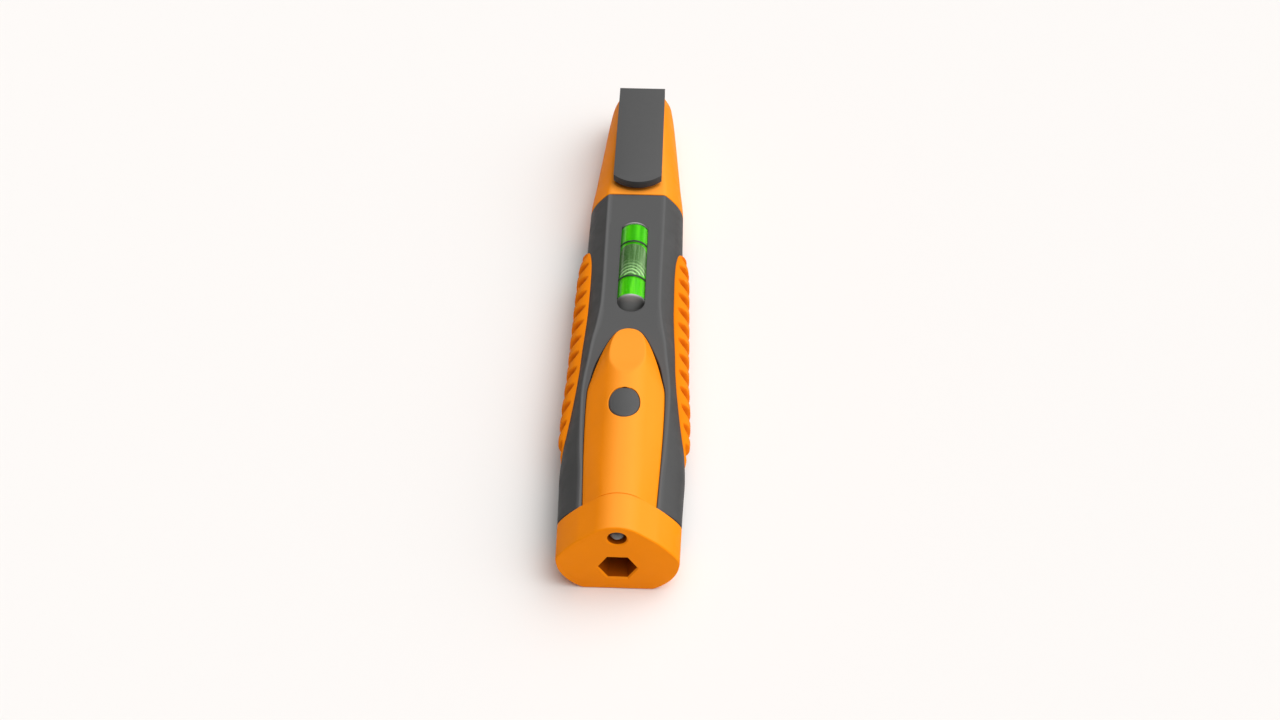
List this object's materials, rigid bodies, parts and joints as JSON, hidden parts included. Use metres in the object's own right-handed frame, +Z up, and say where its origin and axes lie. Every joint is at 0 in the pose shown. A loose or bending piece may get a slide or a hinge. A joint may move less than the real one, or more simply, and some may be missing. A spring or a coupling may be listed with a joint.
{
  "type": "stud finder",
  "caption": "Pocket stud finder with a magnet in its tapered nose, spirit vial, push-button lamp, hexagonal bit socket, side grips and pocket clip.",
  "frame": {"origin": "on the flat base, under the middle of the overall length and width", "axes": "+Z up from the flat base, +Y along the body towards the tip of the nose, the bit socket opens towards -Y"},
  "size_m": [0.027, 0.148, 0.0196],
  "materials": {
    "grey_plastic": "fine moulded texture, dark grey",
    "orange_plastic": "satin moulded, orange",
    "grip_rubber": "matt, orange, scalloped",
    "button_rubber": "matt, dark grey",
    "black_plastic": "satin black",
    "vial_clear": "clear, polished",
    "vial_green": "clear green liquid",
    "vial_air": "air bubble",
    "lamp_resin": "milky clear resin",
    "board_green": "solder-masked laminate",
    "nickel_plate": "nickel plated",
    "steel": "plain",
    "screw_steel": "zinc plated",
    "red_sleeve": "insulated wire"
  },
  "bodies": {
    "body": {"lower_housing": "grey_plastic", "upper_housing": "grey_plastic", "vial_cradle": "grey_plastic", "left_grip": "grip_rubber", "right_grip": "grip_rubber", "nose_cap": "orange_plastic", "thumb_panel": "orange_plastic", "rear_cap": "orange_plastic", "finder_magnet": "nickel_plate", "magnet_back_plate": "steel", "bit_magnet": "nickel_plate", "circuit_board": "board_green", "tact_switch": "black_plastic", "lamp_resistor": "black_plastic", "led_lamp": "lamp_resin", "led_lead_left": "steel", "led_lead_right": "steel", "battery_cell_1": "nickel_plate", "battery_cell_2": "nickel_plate", "battery_cell_3": "nickel_plate", "positive_contact": "nickel_plate", "negative_contact": "nickel_plate", "battery_spring": "steel", "wire_positive": "red_sleeve", "wire_negative": "black_plastic", "vial_tube": "vial_clear", "vial_liquid": "vial_green", "vial_ring_rear": "black_plastic", "vial_ring_front": "black_plastic", "vial_plug_rear": "black_plastic", "vial_plug_front": "black_plastic", "housing_screw_left": "screw_steel", "housing_screw_right": "screw_steel", "housing_screw_rear": "screw_steel", "nose_screw": "screw_steel"},
    "clip": {"pocket_clip": "grey_plastic"},
    "button": {"power_button": "button_rubber"},
    "plunger": {"switch_plunger": "steel"},
    "bubble": {"vial_bubble": "vial_air"},
    "door": {"battery_door": "grey_plastic", "door_screw": "screw_steel"}
  },
  "joints": [
    {"name": "clip_flex", "type": "hinge", "parent": "body", "child": "clip", "pos_m": [0, 0.0624, 0.0148], "axis": [-1, 0, 0], "range_deg": [0, 5], "stiffness_Nm_per_rad": 2.5},
    {"name": "button_press", "type": "slide", "parent": "body", "child": "button", "axis": [0, 0, -1], "range_m": [0, 0.0007], "stiffness_N_per_m": 3000},
    {"name": "plunger_press", "type": "slide", "parent": "body", "child": "plunger", "axis": [0, 0, -1], "range_m": [0, 0.0005]},
    {"name": "bubble_travel", "type": "slide", "parent": "body", "child": "bubble", "axis": [0, 1, 0], "range_m": [-0.006, 0.006]},
    {"name": "door_removal", "type": "slide", "parent": "body", "child": "door", "axis": [0, 0, -1], "range_m": [0, 0.012]}
  ],
  "couplings": [
    {"joint": "plunger_press", "follows": "button_press", "ratio": 0.7}
  ]
}
